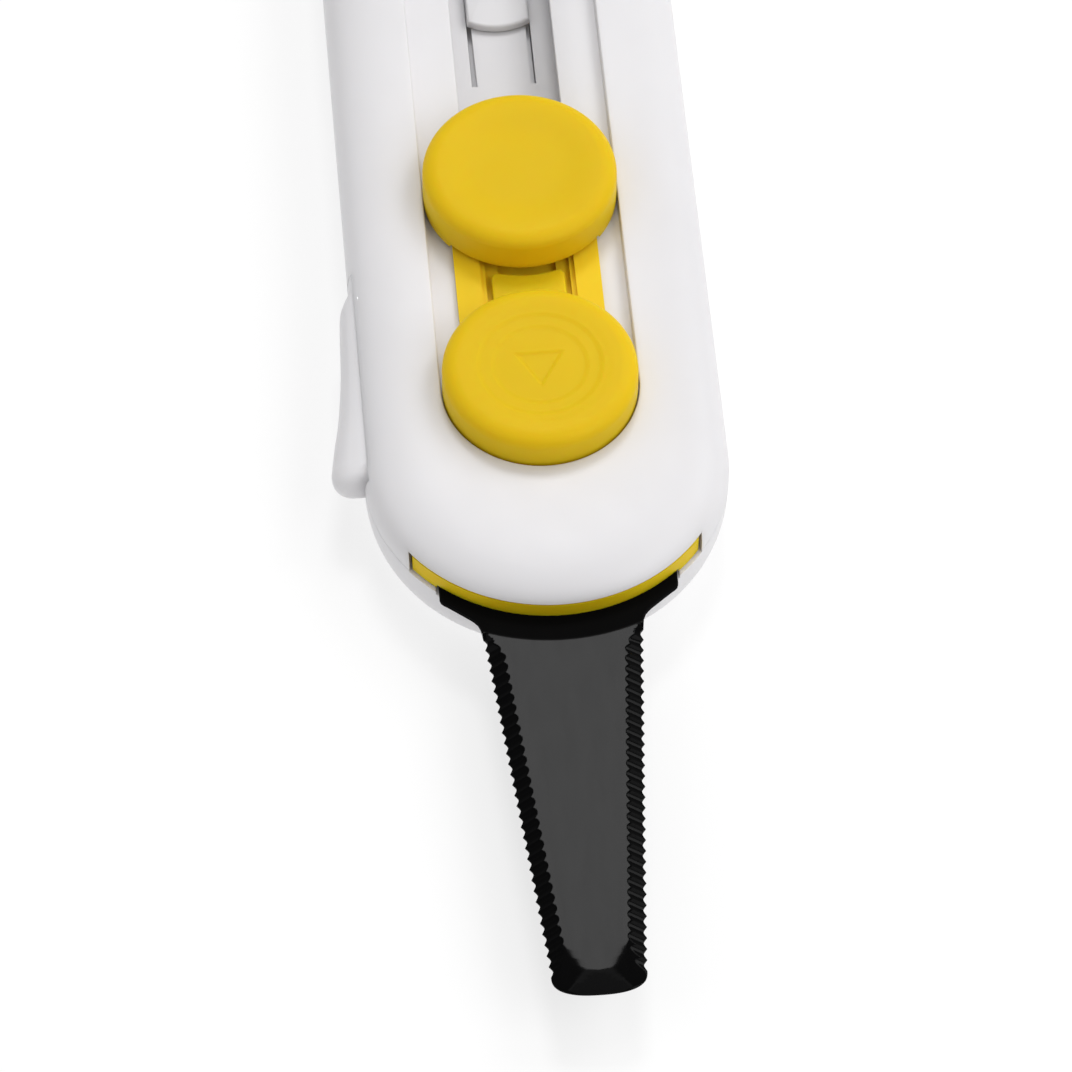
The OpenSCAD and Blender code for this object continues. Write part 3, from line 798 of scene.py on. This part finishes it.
TOOTH_PITCH = 1.1
TEETH_START_X = NOSE_X + 1.4
TEETH_END_X = blade_high.x - 2.0
BLADE_HALF = 7.15
TIP_HALF = BLADE_HALF - 3
BEVEL_WIDTH = 1.25
SLANT = 0.5
FLAT_END_X = blade_high.x - 2.15
FLAT_SHOULDER_X = FLAT_END_X - 3.6
TOOTH_COUNT = math.floor((TEETH_END_X - TEETH_START_X) / TOOTH_PITCH)
GULLET_CUT = 0.28
GULLET_DEPTH = 0.12
EDGE_CHAMFER = 0.17
GRIND_BAND = 1.75


def scallop(x):
    """0 on a tooth's point and 1 in the bottom of the gullet."""
    if not TEETH_START_X < x < TEETH_END_X:
        return 0
    return abs(math.sin(math.pi * (x - TEETH_START_X) / (TEETH_END_X - TEETH_START_X) * TOOTH_COUNT))


def blade_half_line(x):
    """Half-width of the blade along the teeth's points."""
    root = [(blade_low.x, 10.3), (blade_low.x + 0.4, 10.7), (NOSE_X - 3.15, 10.7), (NOSE_X - 2.85, 10.6),
            (NOSE_X - 2.6, 10.35), (NOSE_X - 2.4, 10.05), (NOSE_X - 0.85, 8.1), (NOSE_X - 0.55, 7.78),
            (NOSE_X - 0.2, 7.5), (NOSE_X + 0.3, 7.3), (TEETH_START_X, BLADE_HALF)]
    if x <= TEETH_START_X:
        for (x0, y0), (x1, y1) in zip(root, root[1:]):
            if x <= x1:
                return lerp(y0, y1, (x - x0) / (x1 - x0))
    if x < TEETH_END_X:
        return lerp(BLADE_HALF, TIP_HALF, (x - TEETH_START_X) / (TEETH_END_X - TEETH_START_X))
    share = (x - TEETH_END_X) / (blade_high.x - TEETH_END_X)
    return TIP_HALF * (1 - min(1, share) ** 2.5) ** (1 / 2.5)


def blade_top(x, y, edge_x):
    """Height of the blade's upper side: the flat, the slanted tooth grooves and the tip's facets."""
    top, thin = blade_high.z, blade_low.z + 0.14
    height = top
    if edge_x > TEETH_START_X - 0.4:
        width = BEVEL_WIDTH * lerp(0.35, 1, ease((edge_x - TEETH_START_X + 0.4) / 3.4))
        inward = max(0, blade_half_line(edge_x) - abs(y)) / width
        height = min(top, lerp(thin, top, inward) - GULLET_DEPTH * scallop(edge_x))
    height = min(height, top - (x - FLAT_END_X) * (top - thin) / (blade_high.x - FLAT_END_X))
    if x > FLAT_SHOULDER_X - 1:
        shoulder_half, end_half, facet_slope = 3.3, 1.2, 0.16
        run, climb = FLAT_END_X - FLAT_SHOULDER_X, shoulder_half - end_half
        outside = ((x - FLAT_SHOULDER_X) * climb + (abs(y) - shoulder_half) * run) / math.hypot(run, climb)
        height = min(height, top - max(0, outside) * facet_slope)
    return max(height, blade_low.z + 0.06)


def blade_stations():
    """Places along the blade's edge, close together where its outline turns and over the teeth."""
    root_end = blade_low.x + 0.4
    xs = [blade_low.x, root_end]
    xs += [lerp(root_end, NOSE_X - 3.15, i / 12) for i in range(1, 13)]
    xs += [NOSE_X - x for x in (3.0, 2.85, 2.72, 2.6, 2.5, 2.4, 1.9, 1.4, 0.85, 0.7, 0.55, 0.38, 0.2, 0)]
    xs += [NOSE_X + x for x in (0.3, 0.6, 0.8, 1.0, 1.2)]
    samples = TOOTH_COUNT * 14
    xs += [lerp(TEETH_START_X, TEETH_END_X, i / samples) for i in range(samples + 1)]
    tip = blade_high.x - TEETH_END_X
    return xs + [TEETH_END_X + tip * math.sin(math.pi / 2 * i / 30) for i in range(1, 31)]


def build_blade():
    """The blade as columns of points across it; over the teeth each column slants back towards the root."""
    tip = blade_high.x - TEETH_END_X
    across = (0, 0.07, 0.14, 0.21, 0.28, 0.35, 0.42, 0.49, 0.56, 0.62, 0.67, 0.72, 0.77, 0.82, 0.88, 0.94, 1)
    points = []
    for edge_x in blade_stations():
        half = blade_half_line(edge_x)
        edge = half - GULLET_CUT * scallop(edge_x)
        inner = max(half - GRIND_BAND, 0.4 * half)
        sides = [lerp(edge, inner, t) for t in across]
        sides += [inner * (1 - i / 5) for i in range(1, 6)]
        from_root = ease((edge_x - NOSE_X + 0.6) / 2.6)
        fade = max(0, min(1, from_root, (blade_high.x - edge_x) / tip))
        column = []
        for y in sides:
            shift = SLANT * min(half - y, GRIND_BAND) / BEVEL_WIDTH * fade
            if y < inner:
                shift *= y / inner
            x = edge_x - shift
            height = blade_top(x, y, edge_x)
            if edge_x < TEETH_START_X - 0.4 and y == edge:
                height = blade_high.z - EDGE_CHAMFER
            column.append((x, y, height))
        mirrored = [(x, -y, z) for x, y, z in reversed(column[:-1])]
        below = [(edge_x, y, blade_low.z) for y in (-edge, 0, edge)]
        points.append(column + mirrored + below)
    rows = len(points[0])
    faces = grid_faces(len(points), rows, False, True)
    faces += [tuple(range(rows))]
    blade = mesh_object("serrated_blade", [p for c in points for p in c], faces, BLACK, 24)
    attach(blade, "slide")
    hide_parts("blade")


# ---- side lever ----

def build_side_lever():
    """Flared lever whose grip side swells out from the shell's lip and rolls under at the bottom."""
    low, high = lever_low, lever_high
    outer = [(low.x - 0.16, -15.6), (low.x - 0.16, -16.3), (low.x - 0.05, -16.5), (low.x + 0.8, -16.56),
             (low.x + 1.6, -16.75), (low.x + 2.4, -17.2), (low.x + 3.4, -17.5), (low.x + 6, -17.68),
             (low.x + 10.4, -17.9), (low.x + 15.1, -18.42), (low.x + 18, -18.95), (high.x - 2.6, -19.32),
             (high.x - 1.5, low.y + 0.03), (high.x - 0.6, -19.1), (high.x - 0.1, -18.3), (high.x, -17.2),
             (high.x - 0.1, -16), (high.x - 0.6, -15.35)]
    pin_x, pin_y = low.x + 2.9, -14.9
    hub_hole_r = 0.95
    outline = smooth_curve(outer, 4) + arc(pin_x, pin_y, 1.1, -22, -158, 12)
    waist_z, lip_y, sole_y = low.z + 2.5, -16.2, -17.0
    rear_x, front_x = low.x - 0.16, high.x - 2.6
    rises = [-1 + i / 8 for i in range(17)]
    points = []
    for x, y in outline:
        grip = ease((-15.6 - y) / 0.9)
        spine_x = min(max(x, rear_x), front_x)
        for rise in rises:
            pull = 1 - math.sqrt(1 - rise * rise)
            end_z, end_y = (high.z, lip_y) if rise > 0 else (low.z, sole_y)
            points.append((lerp(x, spine_x, pull * 0.75 * grip), max(y, lerp(y, end_y, pull)),
                           lerp(waist_z, end_z, abs(rise))))
    columns, rows = len(outline), len(rises)
    faces = grid_faces(columns, rows, True, False) + end_faces(columns, rows)
    arm = mesh_object("arm", points, faces, WHITE, 50)
    hub = tube("hub", pin_x, pin_y, 1.25, hub_hole_r, low.z, high.z)
    lever = join([arm, hub], "side_lever_flared")
    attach(lever, "lever")
    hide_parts("side_lever")


# ---- CAD nodes that keep their shape ----

def finish_node(name, material, edge_mm=0.0):
    piece = frame["nodes"][name]
    piece.data.materials.clear()
    piece.data.materials.append(material)
    if edge_mm:
        soften(piece, edge_mm)


def finish_cad_nodes():
    # The carriage gets the yellow plastic painted lighter, which stands in for light in its shaded well.
    finish_node("slide_carriage", YELLOW_PAINTED_LIGHTER, 0.08)
    finish_node("blade_holder", YELLOW, 0.18)
    for name in ("housing_screws", "rail_screws", "carriage_screws", "clamp_screws", "blade_clamp"):
        finish_node(name, ZINC)
    for name in ("detent_spring", "front_button_spring", "rear_button_spring", "front_button_retainer",
                 "rear_button_retainer", "side_lever_pin", "side_lever_spring"):
        finish_node(name, STEEL)


# ---- floor, light and camera ----

def build_stage():
    size, drop = 900, -0.02
    corners = [(-size, -size, drop), (size, -size, drop), (size, size, drop), (-size, size, drop)]
    glow = new_material("floor_white", (0.3, 0.3, 0.3), 0.8, IOR=1.3,
                        Emission_Color=(1, 1, 1, 1), Emission_Strength=0.7)
    floor = mesh_object("floor", corners, [(0, 1, 2, 3)], glow)
    world = bpy.data.worlds.new("studio")
    world.use_nodes = True
    background = world.node_tree.nodes["Background"]
    background.inputs["Color"].default_value = (1, 1, 1, 1)
    background.inputs["Strength"].default_value = 0.36
    bpy.context.scene.world = world
    bpy.context.scene.view_settings.view_transform = "Standard"


# Square lamps: name, place, side in metres, power in watts. All of them look at LIT_PLACE.
LIT_PLACE = Vector((0.04, 0, 0))
LAMPS = [("rear_top", (-0.59, 0.05, 1.07), 0.3, 3.8),
         ("top", (-0.2, 0.05, 1.15), 0.35, 0.6),
         ("right_rear", (-0.42, 0.68, 0.82), 0.45, 2.8),
         ("right_front", (0.45, 0.7, 0.82), 0.8, 4.7),
         ("fill_left", (0.15, -0.85, 0.8), 0.8, 1.6)]


def build_lights():
    for name, place, side, watts in LAMPS:
        data = bpy.data.lights.new(name, "AREA")
        data.shape = "SQUARE"
        data.size = side
        data.energy = watts
        lamp = bpy.data.objects.new(name, data)
        lamp.location = place
        lamp.rotation_euler = (LIT_PLACE - Vector(place)).to_track_quat("-Z", "Y").to_euler()
        bpy.context.collection.objects.link(lamp)


# Azimuth, elevation and roll in degrees; the distance is in metres.
CAMERA_ANGLES = (84.813, 55.123, 0.413)
CAMERA_DISTANCE = 0.54877


def build_camera():
    """Camera in front of the blade's tip and above it, with a long lens."""
    scene = bpy.context.scene
    data = bpy.data.cameras.new("camera")
    data.sensor_width = 36
    data.lens = 208.3
    data.clip_start = 0.01
    data.clip_end = 20
    camera = bpy.data.objects.new("camera", data)
    azimuth, height, roll = (math.radians(a) for a in CAMERA_ANGLES)
    back = Vector((math.sin(azimuth) * math.cos(height), -math.cos(azimuth) * math.cos(height),
                   math.sin(height)))
    target = Vector((FRONT_X + 18.976, -1.997, front_high.z)) * MM
    right = Vector((math.cos(azimuth), math.sin(azimuth), 0))
    up = back.cross(right)
    view_right = right * math.cos(roll) + up * math.sin(roll)
    view_up = up * math.cos(roll) - right * math.sin(roll)
    turn = Matrix((view_right, view_up, back)).transposed().to_4x4()
    camera.matrix_world = Matrix.Translation(target + back * CAMERA_DISTANCE) @ turn
    scene.collection.objects.link(camera)
    scene.camera = camera


build_stage()
build_lights()
build_camera()
build_upper_shell()
build_lower_shell()
build_front_button()
build_rear_button()
build_guide_rail()
build_blade()
build_side_lever()
finish_cad_nodes()

bpy.context.view_layer.update()
